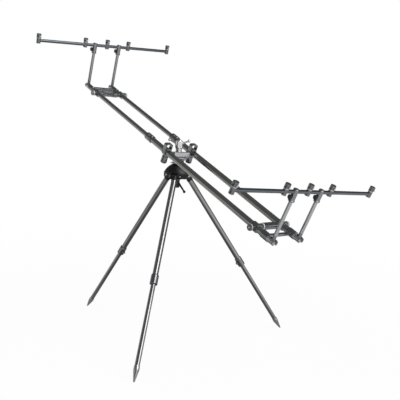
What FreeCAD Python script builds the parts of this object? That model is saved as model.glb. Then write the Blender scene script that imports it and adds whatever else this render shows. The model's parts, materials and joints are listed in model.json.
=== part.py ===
import FreeCAD, Part
import math
import os

# Rod pod on a tripod: two telescopic rails carry a buzz bar at each end.
# Lengths are in millimetres, +Z is up and the rails run along X.
# The pod is drawn about the tripod's axis on the ground, and then moved so that
# the middle of its footprint lies at the origin.

from FreeCAD import Placement, Rotation, Vector

# Fits
SLIDE_GAP = 0.08
PIVOT_GAP = 0.05
SEAT_GAP = 0.03
FACE_GAP = 0.3
OVERRUN = 2.0

# Stance of the tripod
HINGE_HEIGHT = 587.0
HINGE_CIRCLE_R = 38.0
FOOT_CIRCLE_R = 458.0
LEG_COUNT = 3
FIRST_LEG_AZIMUTH = -49.8
LEG_ANGLE = math.degrees(math.atan2(FOOT_CIRCLE_R - HINGE_CIRCLE_R, HINGE_HEIGHT))
LEG_LENGTH = math.hypot(FOOT_CIRCLE_R - HINGE_CIRCLE_R, HINGE_HEIGHT)

# Legs, measured along the leg from its hinge pin
LEG_UPPER_D = 20.0
LEG_LOWER_D = 16.0
LEG_LOWER_WALL = 1.5
LEG_TUBE_START = 14.0
LEG_TUBE_END = 388.0
LEG_OVERLAP = 50.0
KNUCKLE_WIDTH = 18.0
KNUCKLE_SPIGOT = 26.0
LEG_COLLAR_D = 26.0
LEG_COLLAR_LENGTH = 34.0
LEG_COLLAR_REACH = 21.0
FERRULE_D = 18.5
FERRULE_LENGTH = 14.0
SPIKE_LENGTH = 36.0
SPIKE_TIP_D = 5.0
SPIKE_SPIGOT = 24.0

# Leg pivots
PIVOT_BOLT_D = 6.0
PIVOT_HEAD_D = 10.0
PIVOT_HEAD_LENGTH = 3.2
CHEEK_THICKNESS = 7.0
CHEEK_R = 12.0

# Hub casting and what hangs under it
HUB_R = 48.0
HUB_TOP_R = 15.0
HUB_DOME_HEIGHT = 32.0
HUB_ROOF = HINGE_HEIGHT + LEG_UPPER_D / 2 + 2 * FACE_GAP
HUB_RIM = LEG_UPPER_D / 2 - PIVOT_HEAD_D / 2
HUB_TOP = HUB_ROOF + HUB_DOME_HEIGHT
HUB_DOME_SHARE = 0.75
HUB_CORE_R = 21.0
HUB_CORE_DROP = 12.0
HUB_FLAT_DEG = 42.0
HUB_FLAT_DEPTH = 6.0
KING_BOLT_D = 10.0
KING_HEAD_D = 20.0
KING_HEAD_HEIGHT = 7.0
KING_THREAD_LENGTH = 22.0
WASHER_D = 21.0
WASHER_THICKNESS = 3.0

# Clamp lever under the hub
LEVER_BODY_D = 20.0
LEVER_BODY_HEIGHT = 28.0
LEVER_WALL = 4.0
LEVER_AZIMUTH = 9.4
LEVER_ROOT_R = 7.0
LEVER_ROOT_DROP = 9.0
LEVER_REACH = 38.0
LEVER_DROP = 39.0
LEVER_ARM_D = 8.0
LEVER_ARM_TIP_D = 6.0
LEVER_BALL_D = 10.0

# Turntable and head block
PAN_FLANGE_D = 54.0
PAN_FLANGE_THICKNESS = 3.0
PAN_NECK_D = 40.0
PAN_NECK_HEIGHT = 4.0
PAN_BOWL_D = 62.0
PAN_BOWL_HEIGHT = 14.0
PAN_BOWL_RIM = 2.5
BLOCK_DEPTH = 50.0
BLOCK_WIDTH = 72.0
BLOCK_HEIGHT = 20.0
BLOCK_CORNER_R = 7.0
BLOCK_UNDERCUT = 5.0
BLOCK_TOP_CHAMFER = 1.5
TILT_SHAFT_D = 12.0
TILT_SHAFT_ABOVE_BASE = 11.0

# Wing knob on the head block
WING_STUD_D = 8.0
WING_NECK_D = 23.0
WING_NECK_HEIGHT = 13.0
WING_BODY_D = 28.0
WING_BODY_HEIGHT = 28.0
WING_EDGE = 2.5
WING_ARM_D = 8.0
WING_REACH = 35.0
WING_RISE = 13.0
WING_BALL_D = 10.5
WING_AZIMUTH = 42.0

# Rails
RAIL_SPACING = 112.0
RAIL_TILT = 22.3
RAIL_LIFT = 10.0
OUTER_RAIL_D = 22.0
INNER_RAIL_D = 17.0
INNER_RAIL_WALL = 1.6
LOWER_PIVOT = 580.0
UPPER_PIVOT = 605.0
OUTER_RAIL_HEAD = 108.0
RAIL_OVERLAP = 46.0
RAIL_COLLAR_D = 27.5
RAIL_COLLAR_LENGTH = 37.0
RAIL_COLLAR_REACH = 22.0

# Rail clamps at the head
CLAMP_RING_WALL = 4.0
CLAMP_LENGTH = 19.0
CLAMP_SHAFT_BOSS_D = 19.0
CLAMP_SHAFT_ENTRY = 7.0
CLAMP_WEB_LENGTH = 17.0
CLAMP_WEB_REACH = 12.0
CLAMP_FOOT_D = 21.0
CLAMP_FOOT_DROP = 16.5
HOOP_WIDTH = 28.0
HOOP_LENGTH = 16.0
HOOP_HEIGHT = 32.0
HOOP_WALL = 2.5
HOOP_CORNER_R = 6.5
CLAMP_KNOB_D = 22.5
CLAMP_KNOB_HEIGHT = 25.0
CLAMP_KNOB_EDGE = 1.5
CLAMP_SCREW_D = 8.0

# Round collars share one pad and one pinch screw
PINCH_PAD_D = 11.0
PINCH_PAD_RISE = 1.0
PINCH_SCREW_D = 5.0
PINCH_HEAD_D = 8.5
PINCH_HEAD_LENGTH = 2.6
PINCH_HEAD_EDGE = 0.6
PINCH_SCREW_ANGLE = 55.0

# Rail ends, measured from the pivot of the uprights
CROSSBAR_INSET = 80.0
CROSS_CLAMP_WALL = 3.5
CROSS_CLAMP_LENGTH = 24.0
CROSS_BARREL_D = 20.0
CROSS_BARREL_OUT = 12.0
CROSS_BARREL_IN = 7.0
CROSSBAR_D = 17.0
CROSSBAR_BORE = 11.0
CROSSBAR_SOCKET = 9.0
CROSSBAR_EDGE = 1.2
END_SLEEVE_WALL = 1.8
END_SLEEVE_START = 46.0
END_SLEEVE_STOP = 14.5
END_SLEEVE_EDGE = 1.2
BRIDGE_ROD_INSET = 30.0
# Thicker stretches of each cross-bar along Y: from, to and diameter
CROSSBAR_GRIPS = {"lower": [(-26.0, 34.0, 23.0)], "upper": [(-34.0, 16.0, 21.0), (16.0, 34.0, 24.0)]}
BRIDGE_ROD_D = {"lower": 12.0, "upper": 14.0}
FORK_D = 21.0
FORK_END = 14.0
FORK_EDGE = 4.0
FORK_SHOULDER = 12.0
FORK_SPIGOT = 30.0
FORK_BOLT_D = 5.0
FORK_BOLT_HEAD_D = 8.0
FORK_BOLT_HEAD = 1.8

# Uprights and buzz bars; each bar is levelled by its connectors' heights on the uprights
UPRIGHT_LENGTH = 168.0
UPRIGHT_D = 12.0
UPRIGHT_BORE = 9.0
EYE_D = 16.0
EYE_WIDTH = 12.0
EYE_SHANK = 22.0
EYE_SPIGOT = 20.0
LEAN_ANGLE = {"lower": 25.0, "upper": 14.3}
BAR_ANGLE = {"lower": -2.9, "upper": 2.5}
BUZZ_BAR_D = 12.0
BUZZ_BAR_BORE = 9.0
BUZZ_BAR_END = 4.5
REST_PITCH = 100.0
END_REST = 300.0
BOSS_D = 15.6
BOSS_BELOW = 11.0
BOSS_ABOVE = 25.5
BOSS_HEAD_D = 17.4
BOSS_HEAD_START = 11.5
BOSS_NECK_D = 14.0
BOSS_NECK_START = 8.5
BOSS_EDGE = 0.9
REST_THREAD_D = 8.7
REST_THREAD_DEPTH = 16.0
CONNECTOR_D = 17.4
CONNECTOR_BELOW = 32.0
CONNECTOR_ABOVE = 9.0
CONNECTOR_EDGE = 1.2
CONNECTOR_RING_D = 20.0
CONNECTOR_RING_LENGTH = 5.0
UPRIGHT_TOP_INSET = 11.0
BAR_KNOB_D = 16.0
BAR_KNOB_LENGTH = 6.5
BAR_KNOB_NECK = 1.0
BAR_KNOB_BELOW = 17.0
BAR_KNOB_EDGE = 1.2
BAR_SCREW_D = 5.0

X_AXIS = Vector(1, 0, 0)
Y_AXIS = Vector(0, 1, 0)
Z_AXIS = Vector(0, 0, 1)

nodes = {}


def add(name, *solids):
    """Keep a node: one solid, or a group of separate ones."""
    nodes[name] = solids[0] if len(solids) == 1 else Part.makeCompound(list(solids))


def placed(solid, placement):
    copy = solid.copy()
    copy.Placement = placement.multiply(copy.Placement)
    return copy


def rod(radius, start, end):
    """A round bar between two points."""
    way = end.sub(start)
    return Part.makeCylinder(radius, way.Length, start, way)


def pipe(radius, bore_radius, start, end):
    return rod(radius, start, end).cut(rod(bore_radius, start, end))


def turned(profile, direction=Z_AXIS, at=Vector()):
    """A turned piece: pairs of height and radius, closed along the axis."""
    outline = [Vector(0, 0, profile[0][0])]
    outline += [Vector(radius, 0, height) for height, radius in profile]
    outline += [Vector(0, 0, profile[-1][0]), outline[0]]
    points = [outline[0]]
    for point in outline[1:]:
        if not point.isEqual(points[-1], SEAT_GAP / 10):
            points.append(point)
    face = Part.Face(Part.makePolygon(points))
    solid = face.revolve(Vector(), Z_AXIS, 360)
    return placed(solid, Placement(at, Rotation(Z_AXIS, direction)))


def box(low, high):
    size = high.sub(low)
    return Part.makeBox(size.x, size.y, size.z, low)


def vertical_edges(solid, height):
    """Straight edges along Z that are as long as a given height."""
    found = []
    for edge in solid.Edges:
        run = edge.lastVertex().Point.sub(edge.firstVertex().Point)
        if abs(abs(run.z) - height) < SEAT_GAP and math.hypot(run.x, run.y) < SEAT_GAP:
            found.append(edge)
    return found


# Placements of the assemblies

RAIL_NORMAL = Rotation(Y_AXIS, RAIL_TILT).multVec(Z_AXIS)
RAIL_WAY = Rotation(Y_AXIS, RAIL_TILT).multVec(X_AXIS)
PAN_BASE_HEIGHT = HUB_TOP + FACE_GAP
BLOCK_BASE = PAN_BASE_HEIGHT + PAN_FLANGE_THICKNESS + PAN_NECK_HEIGHT + PAN_BOWL_HEIGHT
TILT_AXIS = Vector(0, 0, BLOCK_BASE + TILT_SHAFT_ABOVE_BASE)
RAIL_ORIGIN = TILT_AXIS.add(RAIL_NORMAL * RAIL_LIFT)
RAIL_PLACE = Placement(RAIL_ORIGIN, Rotation(Y_AXIS, RAIL_TILT))
RAIL_SIDES = {"near": -RAIL_SPACING / 2, "far": RAIL_SPACING / 2}
OUTER_RAIL_BORE = INNER_RAIL_D + 2 * SLIDE_GAP
INNER_RAIL_BORE = INNER_RAIL_D - 2 * INNER_RAIL_WALL
INNER_RAIL_TAIL = OUTER_RAIL_HEAD - RAIL_OVERLAP


def leg_azimuth(index):
    return FIRST_LEG_AZIMUTH + index * 360 / LEG_COUNT


def leg_place(index):
    """Leg frame: origin on the pin, Z down the leg, Y along the pin."""
    lean = Placement(Vector(HINGE_CIRCLE_R, 0, HINGE_HEIGHT), Rotation(Y_AXIS, 180 - LEG_ANGLE))
    turn = Placement(Vector(), Rotation(Z_AXIS, leg_azimuth(index)))
    return turn.multiply(lean)


def end_place(end):
    """Rail end frame: origin at the pivot, X outwards along the rail, Z square to it."""
    if end == "lower":
        return RAIL_PLACE.multiply(Placement(Vector(LOWER_PIVOT, 0, 0), Rotation()))
    return RAIL_PLACE.multiply(Placement(Vector(-UPPER_PIVOT, 0, 0), Rotation(Z_AXIS, 180)))


def frame_place(end):
    """Frame of an upright pair: origin at the pivot, Z up the uprights."""
    return Placement(end_place(end).Base, Rotation(Y_AXIS, LEAN_ANGLE[end]))


def bar_place(end):
    """Frame of a buzz bar: origin at its middle, Y along it, Z up its bosses."""
    roll = Placement(Z_AXIS * UPRIGHT_LENGTH, Rotation(X_AXIS, BAR_ANGLE[end]))
    return frame_place(end).multiply(roll)


def crossing_height(end, side):
    """Height on an upright where the buzz bar crosses it."""
    return UPRIGHT_LENGTH + side * math.tan(math.radians(BAR_ANGLE[end]))


# Round collar with its pinch screw, about Z, screw head towards X

def pinch_pad(collar_d):
    """Distance of the pad under the screw's head from the collar's axis."""
    return collar_d / 2 + PINCH_PAD_RISE


def pinch_collar(collar_d, length, tube_d, tube_end, inner_d, height):
    """A collar on the end of a tube, with a screw hole over the tube that slides in it."""
    low = height - length / 2
    high = height + length / 2
    edge = (collar_d - tube_d) / 4
    body = turned([(low, collar_d / 2 - edge), (low + 2 * edge, collar_d / 2),
                   (high - edge, collar_d / 2), (high, collar_d / 2 - edge)])
    middle = Z_AXIS * height
    pad = rod(PINCH_PAD_D / 2, middle, middle.add(X_AXIS * pinch_pad(collar_d)))
    seat = rod(tube_d / 2 + SEAT_GAP, Vector(0, 0, low - OVERRUN), Vector(0, 0, tube_end))
    throat = rod(inner_d / 2 + SLIDE_GAP, Vector(0, 0, low), Vector(0, 0, high + OVERRUN))
    hole = rod(PINCH_SCREW_D / 2 + PIVOT_GAP, middle, middle.add(X_AXIS * collar_d))
    return body.fuse(pad).cut([seat, throat, hole]).removeSplitter()


def pinch_screw(collar_d, inner_d, height):
    """The screw through a collar's wall, with a low round head over its pad."""
    face = pinch_pad(collar_d) + FACE_GAP
    top = face + PINCH_HEAD_LENGTH
    return turned([(inner_d / 2 + FACE_GAP, PINCH_SCREW_D / 2), (face, PINCH_SCREW_D / 2),
                   (face, PINCH_HEAD_D / 2), (top - PINCH_HEAD_EDGE, PINCH_HEAD_D / 2),
                   (top, PINCH_HEAD_D / 2 - PINCH_HEAD_EDGE)], X_AXIS, Z_AXIS * height)


# Tripod

def hub_casting():
    """Domed casting with three pairs of cheeks and a core for the king bolt."""
    share = HUB_DOME_SHARE
    rim_low = HUB_ROOF - HUB_RIM
    shoulder = Vector(HUB_R, 0, HUB_ROOF)
    crown = Vector(HUB_TOP_R, 0, HUB_TOP)
    bulge = Vector(HUB_R * share, 0, HUB_ROOF + HUB_DOME_HEIGHT * share ** 2)
    low = Vector(HUB_R, 0, rim_low)
    edges = [Part.LineSegment(Vector(0, 0, rim_low), low).toShape(),
             Part.LineSegment(low, shoulder).toShape(),
             Part.Arc(shoulder, bulge, crown).toShape(),
             Part.LineSegment(crown, Vector(0, 0, HUB_TOP)).toShape(),
             Part.LineSegment(Vector(0, 0, HUB_TOP), Vector(0, 0, rim_low)).toShape()]
    dome = Part.Face(Part.Wire(edges)).revolve(Vector(), Z_AXIS, 360)
    core_base = HINGE_HEIGHT - HUB_CORE_DROP
    core = rod(HUB_CORE_R, Vector(0, 0, core_base), Vector(0, 0, HUB_ROOF))
    arms = []
    slots = []
    half_slot = LEG_UPPER_D / 2 + FACE_GAP
    half_arm = half_slot + CHEEK_THICKNESS
    for index in range(LEG_COUNT):
        turn = Placement(Vector(), Rotation(Z_AXIS, leg_azimuth(index)))
        pin = Vector(HINGE_CIRCLE_R, 0, HINGE_HEIGHT)
        across = Y_AXIS * half_arm
        arm = rod(CHEEK_R, pin.sub(across), pin.add(across))
        arm = arm.fuse(box(Vector(0, -half_arm, HINGE_HEIGHT - CHEEK_R),
                           Vector(HINGE_CIRCLE_R, half_arm, HUB_ROOF)))
        arm = arm.fuse(box(Vector(0, -half_arm, HINGE_HEIGHT),
                           Vector(HINGE_CIRCLE_R + CHEEK_R, half_arm, HUB_ROOF)))
        arms.append(placed(arm, turn))
        slot_back = HINGE_CIRCLE_R - LEG_UPPER_D / 2 - 2 * FACE_GAP
        slot = box(Vector(slot_back, -half_slot, core_base - OVERRUN),
                   Vector(HUB_R + LEG_UPPER_D, half_slot, HUB_ROOF))
        hole = rod(PIVOT_BOLT_D / 2 + SEAT_GAP, pin.sub(across * 2), pin.add(across * 2))
        flat_way = Rotation(Y_AXIS, HUB_FLAT_DEG).multVec(Z_AXIS)
        flat_at = Vector(HUB_R, 0, HUB_ROOF + HUB_DOME_HEIGHT / 2)
        flat = Part.makeBox(HUB_R, 2 * HUB_R, HUB_R, Vector(-HUB_R / 2, -HUB_R, 0))
        flat = placed(flat, Placement(flat_at.sub(flat_way * HUB_FLAT_DEPTH),
                                      Rotation(Z_AXIS, flat_way)))
        slots += [placed(cutter, turn) for cutter in (slot, hole, flat)]
    bolt_hole = rod(KING_BOLT_D / 2 + SLIDE_GAP, Vector(0, 0, core_base - OVERRUN),
                    Vector(0, 0, HUB_TOP + OVERRUN))
    return dome.fuse([core] + arms).cut(slots + [bolt_hole]).removeSplitter()


def pivot_bolt(half_grip, bolt_d, head_d, head_length):
    """A bolt along Y with a head at one end and an equal nut at the other."""
    end = half_grip + head_length
    return turned([(-end, head_d / 2 - head_length / 2), (-half_grip - head_length / 2, head_d / 2),
                   (-half_grip, head_d / 2), (-half_grip, bolt_d / 2), (half_grip, bolt_d / 2),
                   (half_grip, head_d / 2), (half_grip + head_length / 2, head_d / 2),
                   (end, head_d / 2 - head_length / 2)], Y_AXIS)


def leg_pivot_bolt(index):
    half_grip = LEG_UPPER_D / 2 + FACE_GAP + CHEEK_THICKNESS
    bolt = pivot_bolt(half_grip, PIVOT_BOLT_D, PIVOT_HEAD_D, PIVOT_HEAD_LENGTH)
    return placed(bolt, leg_place(index))


def leg_collar_height():
    return LEG_TUBE_END + LEG_COLLAR_REACH - LEG_COLLAR_LENGTH / 2


def build_leg(index):
    """One leg: knuckle, two tubes, collar, screw and spike."""
    place = leg_place(index)
    label = str(index + 1)
    upper_bore = LEG_LOWER_D + 2 * SLIDE_GAP
    lower_bore = LEG_LOWER_D - 2 * LEG_LOWER_WALL
    spike_start = LEG_LENGTH - SPIKE_LENGTH - FERRULE_LENGTH
    collar_at = leg_collar_height()
    half_width = Y_AXIS * (KNUCKLE_WIDTH / 2)
    eye = rod(LEG_UPPER_D / 2, half_width * -1, half_width)
    shank = rod(LEG_UPPER_D / 2, Vector(), Vector(0, 0, LEG_TUBE_START))
    spigot = rod(upper_bore / 2 - SEAT_GAP, Vector(0, 0, LEG_TUBE_START),
                 Vector(0, 0, LEG_TUBE_START + KNUCKLE_SPIGOT))
    pin_hole = rod(PIVOT_BOLT_D / 2 + PIVOT_GAP, half_width * -2, half_width * 2)
    knuckle = eye.fuse([shank, spigot]).cut(pin_hole).removeSplitter()
    add("leg_knuckle_" + label, placed(knuckle, place))
    add("leg_upper_tube_" + label, placed(
        pipe(LEG_UPPER_D / 2, upper_bore / 2, Vector(0, 0, LEG_TUBE_START),
             Vector(0, 0, LEG_TUBE_END)), place))
    collar = pinch_collar(LEG_COLLAR_D, LEG_COLLAR_LENGTH, LEG_UPPER_D, LEG_TUBE_END,
                          LEG_LOWER_D, collar_at)
    screw = pinch_screw(LEG_COLLAR_D, LEG_LOWER_D, collar_at)
    add("leg_collar_" + label, placed(collar, place))
    add("leg_screw_" + label, placed(screw, place))
    add("leg_lower_tube_" + label, placed(
        pipe(LEG_LOWER_D / 2, lower_bore / 2, Vector(0, 0, LEG_TUBE_END - LEG_OVERLAP),
             Vector(0, 0, spike_start)), place))
    spike = turned([(spike_start - SPIKE_SPIGOT, lower_bore / 2 - SEAT_GAP),
                    (spike_start, lower_bore / 2 - SEAT_GAP), (spike_start, LEG_LOWER_D / 2),
                    (spike_start + FERRULE_LENGTH / 3, FERRULE_D / 2),
                    (spike_start + FERRULE_LENGTH, FERRULE_D / 2),
                    (LEG_LENGTH, SPIKE_TIP_D / 2),
                    (LEG_LENGTH + SPIKE_TIP_D, 0)])
    reach = FOOT_CIRCLE_R + FERRULE_D
    ground = box(Vector(-reach, -reach, -FERRULE_D), Vector(reach, reach, 0))
    add("foot_spike_" + label, placed(spike, place).cut(ground))


def clamp_lever():
    """Clamp nut with its lever and ball, blind-bored for the king bolt."""
    top = lever_top()
    bottom = top - LEVER_BODY_HEIGHT
    edge = LEVER_WALL / 2
    body = turned([(bottom, LEVER_BODY_D / 2 - edge), (bottom + edge, LEVER_BODY_D / 2),
                   (top, LEVER_BODY_D / 2)])
    turn = Placement(Vector(), Rotation(Z_AXIS, LEVER_AZIMUTH))
    root = Vector(LEVER_ROOT_R, 0, top - LEVER_ROOT_DROP)
    tip = Vector(LEVER_REACH, 0, top - LEVER_DROP)
    way = tip.sub(root)
    arm = Part.makeCone(LEVER_ARM_D / 2, LEVER_ARM_TIP_D / 2, way.Length, root, way)
    ball = Part.makeSphere(LEVER_BALL_D / 2, tip)
    lever = body.fuse([placed(arm, turn), placed(ball, turn)])
    hole = rod(KING_BOLT_D / 2 + PIVOT_GAP, Vector(0, 0, bottom + LEVER_WALL),
               Vector(0, 0, top + OVERRUN))
    return lever.cut(hole)


def lever_top():
    return HINGE_HEIGHT - HUB_CORE_DROP - WASHER_THICKNESS - 2 * FACE_GAP


def king_bolt():
    """The bolt that holds the turntable down on the hub."""
    head_base = PAN_BASE_HEIGHT + PAN_FLANGE_THICKNESS + FACE_GAP
    tail = lever_top() - KING_THREAD_LENGTH + FACE_GAP
    return turned([(tail, KING_BOLT_D / 2), (head_base, KING_BOLT_D / 2),
                   (head_base, KING_HEAD_D / 2), (head_base + KING_HEAD_HEIGHT, KING_HEAD_D / 2)])


def king_washer():
    top = HINGE_HEIGHT - HUB_CORE_DROP - FACE_GAP
    return pipe(WASHER_D / 2, KING_BOLT_D / 2 + SEAT_GAP, Vector(0, 0, top - WASHER_THICKNESS),
                Vector(0, 0, top))


# Head

def pan_base():
    """Turned turntable: flange, neck and bowl, counterbored for the king bolt's head."""
    flange_top = PAN_BASE_HEIGHT + PAN_FLANGE_THICKNESS
    neck_top = flange_top + PAN_NECK_HEIGHT
    body = turned([(PAN_BASE_HEIGHT, PAN_FLANGE_D / 2), (flange_top, PAN_FLANGE_D / 2),
                   (flange_top, PAN_NECK_D / 2), (neck_top, PAN_NECK_D / 2),
                   (BLOCK_BASE - PAN_BOWL_RIM, PAN_BOWL_D / 2), (BLOCK_BASE, PAN_BOWL_D / 2)])
    hole = rod(KING_BOLT_D / 2 + PIVOT_GAP, Vector(0, 0, PAN_BASE_HEIGHT - OVERRUN),
               Vector(0, 0, BLOCK_BASE))
    seat = rod(KING_HEAD_D / 2 + PIVOT_GAP, Vector(0, 0, flange_top),
               Vector(0, 0, BLOCK_BASE + OVERRUN))
    return body.cut([hole, seat])


def head_block():
    """Block with rounded corners, a chamfered belly and a cross bore for the tilt shaft."""
    half = Vector(BLOCK_DEPTH / 2, BLOCK_WIDTH / 2, 0)
    top = Vector(0, 0, BLOCK_BASE + BLOCK_HEIGHT)
    block = box(Vector(-half.x, -half.y, BLOCK_BASE), half.add(top))
    block = block.makeFillet(BLOCK_CORNER_R, vertical_edges(block, BLOCK_HEIGHT))
    low = [edge for edge in block.Edges if edge.BoundBox.ZMax < BLOCK_BASE + SEAT_GAP]
    block = block.makeChamfer(BLOCK_UNDERCUT, low)
    high = [edge for edge in block.Edges if edge.BoundBox.ZMin > top.z - SEAT_GAP]
    block = block.makeChamfer(BLOCK_TOP_CHAMFER, high)
    across = Y_AXIS * BLOCK_WIDTH
    bore = rod(TILT_SHAFT_D / 2 + PIVOT_GAP, TILT_AXIS.sub(across), TILT_AXIS.add(across))
    stud = rod(WING_STUD_D / 2 + PIVOT_GAP, TILT_AXIS, top.add(Z_AXIS * OVERRUN))
    return block.cut([bore, stud])


def wing_knob():
    """Brake knob with two rising arms; its stud presses on the tilt shaft."""
    top = BLOCK_BASE + BLOCK_HEIGHT
    neck_low = top + FACE_GAP
    body_low = top + WING_NECK_HEIGHT
    body_high = body_low + WING_BODY_HEIGHT
    body = turned([(TILT_AXIS.z + TILT_SHAFT_D / 2 + FACE_GAP, WING_STUD_D / 2),
                   (neck_low, WING_STUD_D / 2), (neck_low, WING_NECK_D / 2),
                   (body_low, WING_NECK_D / 2), (body_low, WING_BODY_D / 2 - WING_EDGE / 2),
                   (body_low + WING_EDGE / 2, WING_BODY_D / 2),
                   (body_high - WING_EDGE, WING_BODY_D / 2),
                   (body_high, WING_BODY_D / 2 - WING_EDGE)])
    pieces = []
    for turn in (WING_AZIMUTH, WING_AZIMUTH + 180):
        root = Vector(WING_BODY_D / 4, 0, body_high - WING_RISE)
        tip = Vector(WING_REACH, 0, body_high)
        way = tip.sub(root)
        arm = Part.makeCone(WING_ARM_D / 2, WING_BALL_D / 2, way.Length, root, way)
        ball = Part.makeSphere(WING_BALL_D / 2, tip)
        spin = Placement(Vector(), Rotation(Z_AXIS, turn))
        pieces += [placed(arm, spin), placed(ball, spin)]
    return body.fuse(pieces)


def tilt_shaft():
    reach = Y_AXIS * (BLOCK_WIDTH / 2 + FACE_GAP + CLAMP_SHAFT_ENTRY)
    return rod(TILT_SHAFT_D / 2, TILT_AXIS.sub(reach), TILT_AXIS.add(reach))


def hoop():
    """Rounded hoop over the rail, in the YZ plane of the rail frame."""
    def arch(width, height, corner):
        solid = Part.makeBox(HOOP_LENGTH, width, height, Vector(-HOOP_LENGTH / 2, -width / 2, 0))
        tops = [edge for edge in solid.Edges
                if edge.BoundBox.ZMin > height - SEAT_GAP and edge.BoundBox.XLength > SEAT_GAP]
        return solid.makeFillet(corner, tops)
    opening = arch(HOOP_WIDTH - 2 * HOOP_WALL, HOOP_HEIGHT - HOOP_WALL, HOOP_CORNER_R - HOOP_WALL)
    return arch(HOOP_WIDTH, HOOP_HEIGHT, HOOP_CORNER_R).cut(opening)


def rail_clamp(side):
    """Ring round the rail with a hoop above, a foot below and a boss for the tilt shaft."""
    inward = -math.copysign(1, side)
    ring_r = OUTER_RAIL_D / 2 + CLAMP_RING_WALL
    ring = rod(ring_r, X_AXIS * (-CLAMP_LENGTH / 2), X_AXIS * (CLAMP_LENGTH / 2))
    foot = rod(CLAMP_FOOT_D / 2, Vector(), Z_AXIS * -CLAMP_FOOT_DROP)
    boss_end = abs(side) - BLOCK_WIDTH / 2 - FACE_GAP
    boss_start = boss_end - CLAMP_SHAFT_ENTRY
    boss = rod(CLAMP_SHAFT_BOSS_D / 2, Vector(0, inward * boss_start, -RAIL_LIFT),
               Vector(0, inward * boss_end, -RAIL_LIFT))
    web_low = min(inward * CLAMP_WEB_REACH / 3, inward * boss_end)
    web_high = max(inward * CLAMP_WEB_REACH / 3, inward * boss_end)
    web = box(Vector(-CLAMP_WEB_LENGTH / 2, web_low, -CLAMP_FOOT_DROP),
              Vector(CLAMP_WEB_LENGTH / 2, web_high, 0))
    body = ring.fuse([foot, boss, web, hoop()])
    bore = rod(OUTER_RAIL_D / 2 + SLIDE_GAP, X_AXIS * -CLAMP_LENGTH, X_AXIS * CLAMP_LENGTH)
    shaft = rod(TILT_SHAFT_D / 2 + SEAT_GAP,
                Vector(0, inward * (boss_start - FACE_GAP), -RAIL_LIFT),
                Vector(0, inward * (boss_end + OVERRUN), -RAIL_LIFT))
    screw = rod(CLAMP_SCREW_D / 2 + PIVOT_GAP, Vector(), Z_AXIS * (-CLAMP_FOOT_DROP - OVERRUN))
    body = body.cut([bore, shaft, screw]).removeSplitter()
    return placed(body, RAIL_PLACE.multiply(Placement(Vector(0, side, 0), Rotation())))


def rail_clamp_knob(side):
    """Knurled knob under a rail clamp; its screw presses on the rail."""
    high = -CLAMP_FOOT_DROP - FACE_GAP
    low = high - CLAMP_KNOB_HEIGHT
    edge = CLAMP_KNOB_EDGE
    knob = turned([(low, CLAMP_KNOB_D / 2 - edge), (low + edge, CLAMP_KNOB_D / 2),
                   (high - edge, CLAMP_KNOB_D / 2), (high, CLAMP_KNOB_D / 2 - edge),
                   (high, CLAMP_SCREW_D / 2),
                   (-OUTER_RAIL_D / 2 - FACE_GAP, CLAMP_SCREW_D / 2)])
    return placed(knob, RAIL_PLACE.multiply(Placement(Vector(0, side, 0), Rotation())))


# Rails

def rail_frame(side):
    return RAIL_PLACE.multiply(Placement(Vector(0, side, 0), Rotation()))


def outer_rail(side):
    tube = pipe(OUTER_RAIL_D / 2, OUTER_RAIL_BORE / 2, X_AXIS * -OUTER_RAIL_HEAD,
                X_AXIS * (LOWER_PIVOT - FORK_SHOULDER))
    return placed(tube, rail_frame(side))


def inner_rail(side):
    tube = pipe(INNER_RAIL_D / 2, INNER_RAIL_BORE / 2, X_AXIS * -(UPPER_PIVOT - FORK_SHOULDER),
                X_AXIS * -INNER_RAIL_TAIL)
    return placed(tube, rail_frame(side))


def collar_frame(side):
    """Collar frame on a rail: Z up the slope, X to the near side and up by the screw's angle."""
    turn = Rotation(Y_AXIS * -1, Z_AXIS, X_AXIS * -1, "ZXY")
    tilt = Rotation(Z_AXIS, PINCH_SCREW_ANGLE)
    return rail_frame(side).multiply(Placement(Vector(), turn.multiply(tilt)))


def rail_collar_height():
    return OUTER_RAIL_HEAD + RAIL_COLLAR_REACH - RAIL_COLLAR_LENGTH / 2


def rail_collar(side):
    collar = pinch_collar(RAIL_COLLAR_D, RAIL_COLLAR_LENGTH, OUTER_RAIL_D, OUTER_RAIL_HEAD,
                          INNER_RAIL_D, rail_collar_height())
    return placed(collar, collar_frame(side))


def rail_screw(side):
    screw = pinch_screw(RAIL_COLLAR_D, INNER_RAIL_D, rail_collar_height())
    return placed(screw, collar_frame(side))


# Rail ends: cross-bar, bridge and forks

def far_way(end):
    """The far side's direction in a rail end's frame."""
    return Y_AXIS if end == "lower" else Y_AXIS * -1


def end_tube(end):
    """Outer diameter and bore of the rail tube at one end."""
    if end == "lower":
        return OUTER_RAIL_D, OUTER_RAIL_BORE
    return INNER_RAIL_D, INNER_RAIL_BORE


def cross_clamp(end, side):
    """Ring on the rail with a barrel along Y that holds the cross-bar."""
    tube_d = end_tube(end)[0]
    inward = -math.copysign(1, side)
    ring_r = tube_d / 2 + CROSS_CLAMP_WALL
    at = Vector(-CROSSBAR_INSET, side, 0)
    half = X_AXIS * (CROSS_CLAMP_LENGTH / 2)
    ring = rod(ring_r, at.sub(half), at.add(half))
    barrel_in = at.add(Y_AXIS * (inward * (ring_r + CROSS_BARREL_IN)))
    barrel_out = at.sub(Y_AXIS * (inward * (ring_r + CROSS_BARREL_OUT)))
    barrel = rod(CROSS_BARREL_D / 2, barrel_out, barrel_in)
    bore = rod(tube_d / 2 + SEAT_GAP, at.sub(half * 2), at.add(half * 2))
    socket = rod(CROSSBAR_D / 2 + SEAT_GAP, at, barrel_in.add(Y_AXIS * (inward * OVERRUN)))
    socket_depth = barrel_in.sub(Y_AXIS * (inward * CROSSBAR_SOCKET))
    keep = rod(CROSS_BARREL_D, at, socket_depth)
    return ring.fuse(barrel).cut([bore, socket.cut(keep)]).removeSplitter()


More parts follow.
